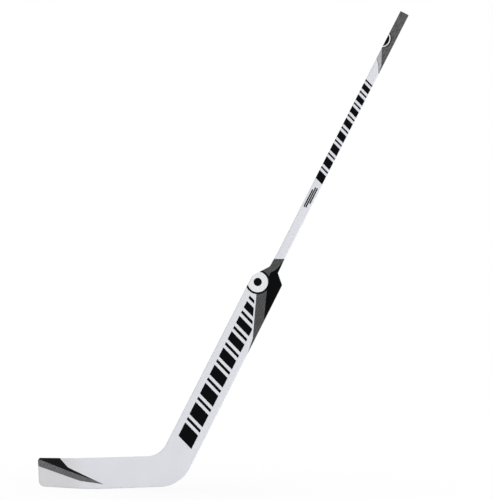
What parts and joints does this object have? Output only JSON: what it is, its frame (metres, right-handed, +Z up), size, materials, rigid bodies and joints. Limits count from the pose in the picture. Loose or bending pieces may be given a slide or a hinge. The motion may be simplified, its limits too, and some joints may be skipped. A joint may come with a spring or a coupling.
{
  "type": "ice hockey goalkeeper's stick",
  "caption": "Goalkeeper's stick with a foam core: a hollow rectangular shaft, a wide paddle and a low bowed blade, white with plain black and grey bars and wedges.",
  "frame": {"origin": "middle of the sole's flat, under the blade", "axes": "+X from toe to heel, +Z up from the ice, the front face looks along -Y"},
  "size_m": [1.0388, 0.0299, 1.3366],
  "materials": {
    "white_lacquer": "clear-coated white paint over fibre laminate, satin gloss",
    "black_film": "printed black film under clear coat",
    "graphite_film": "printed dark grey film under clear coat",
    "black_plastic": "moulded ABS",
    "core_wood": "planed aspen",
    "core_foam": "cut polyurethane foam"
  },
  "bodies": {
    "root": {"shaft_tube": "white_lacquer", "butt_plug": "black_plastic", "paddle_spine": "core_wood", "shoulder_block_leading": "core_wood", "shoulder_block_trailing": "core_wood", "paddle_rail_leading": "core_wood", "paddle_rail_trailing": "core_wood", "paddle_foam_leading": "core_foam", "paddle_foam_trailing": "core_foam", "heel_block": "core_wood", "blade_rib": "core_wood", "blade_foam_upper": "core_foam", "blade_foam_lower": "core_foam", "blade_rail_top": "black_plastic", "blade_rail_sole": "black_plastic", "toe_insert": "black_plastic", "paddle_skin_front": "white_lacquer", "paddle_skin_back": "white_lacquer", "blade_skin_front": "white_lacquer", "blade_skin_back": "white_lacquer", "butt_film": "graphite_film", "shaft_bars_film": "black_film", "paddle_bars_film_front": "black_film", "paddle_bars_film_back": "black_film", "shoulder_film_grey": "graphite_film", "shoulder_film_black": "black_film", "toe_film_grey": "graphite_film", "toe_film_black": "black_film", "roundel_ring_film": "black_film", "roundel_disc_film": "white_lacquer"}
  },
  "joints": []
}
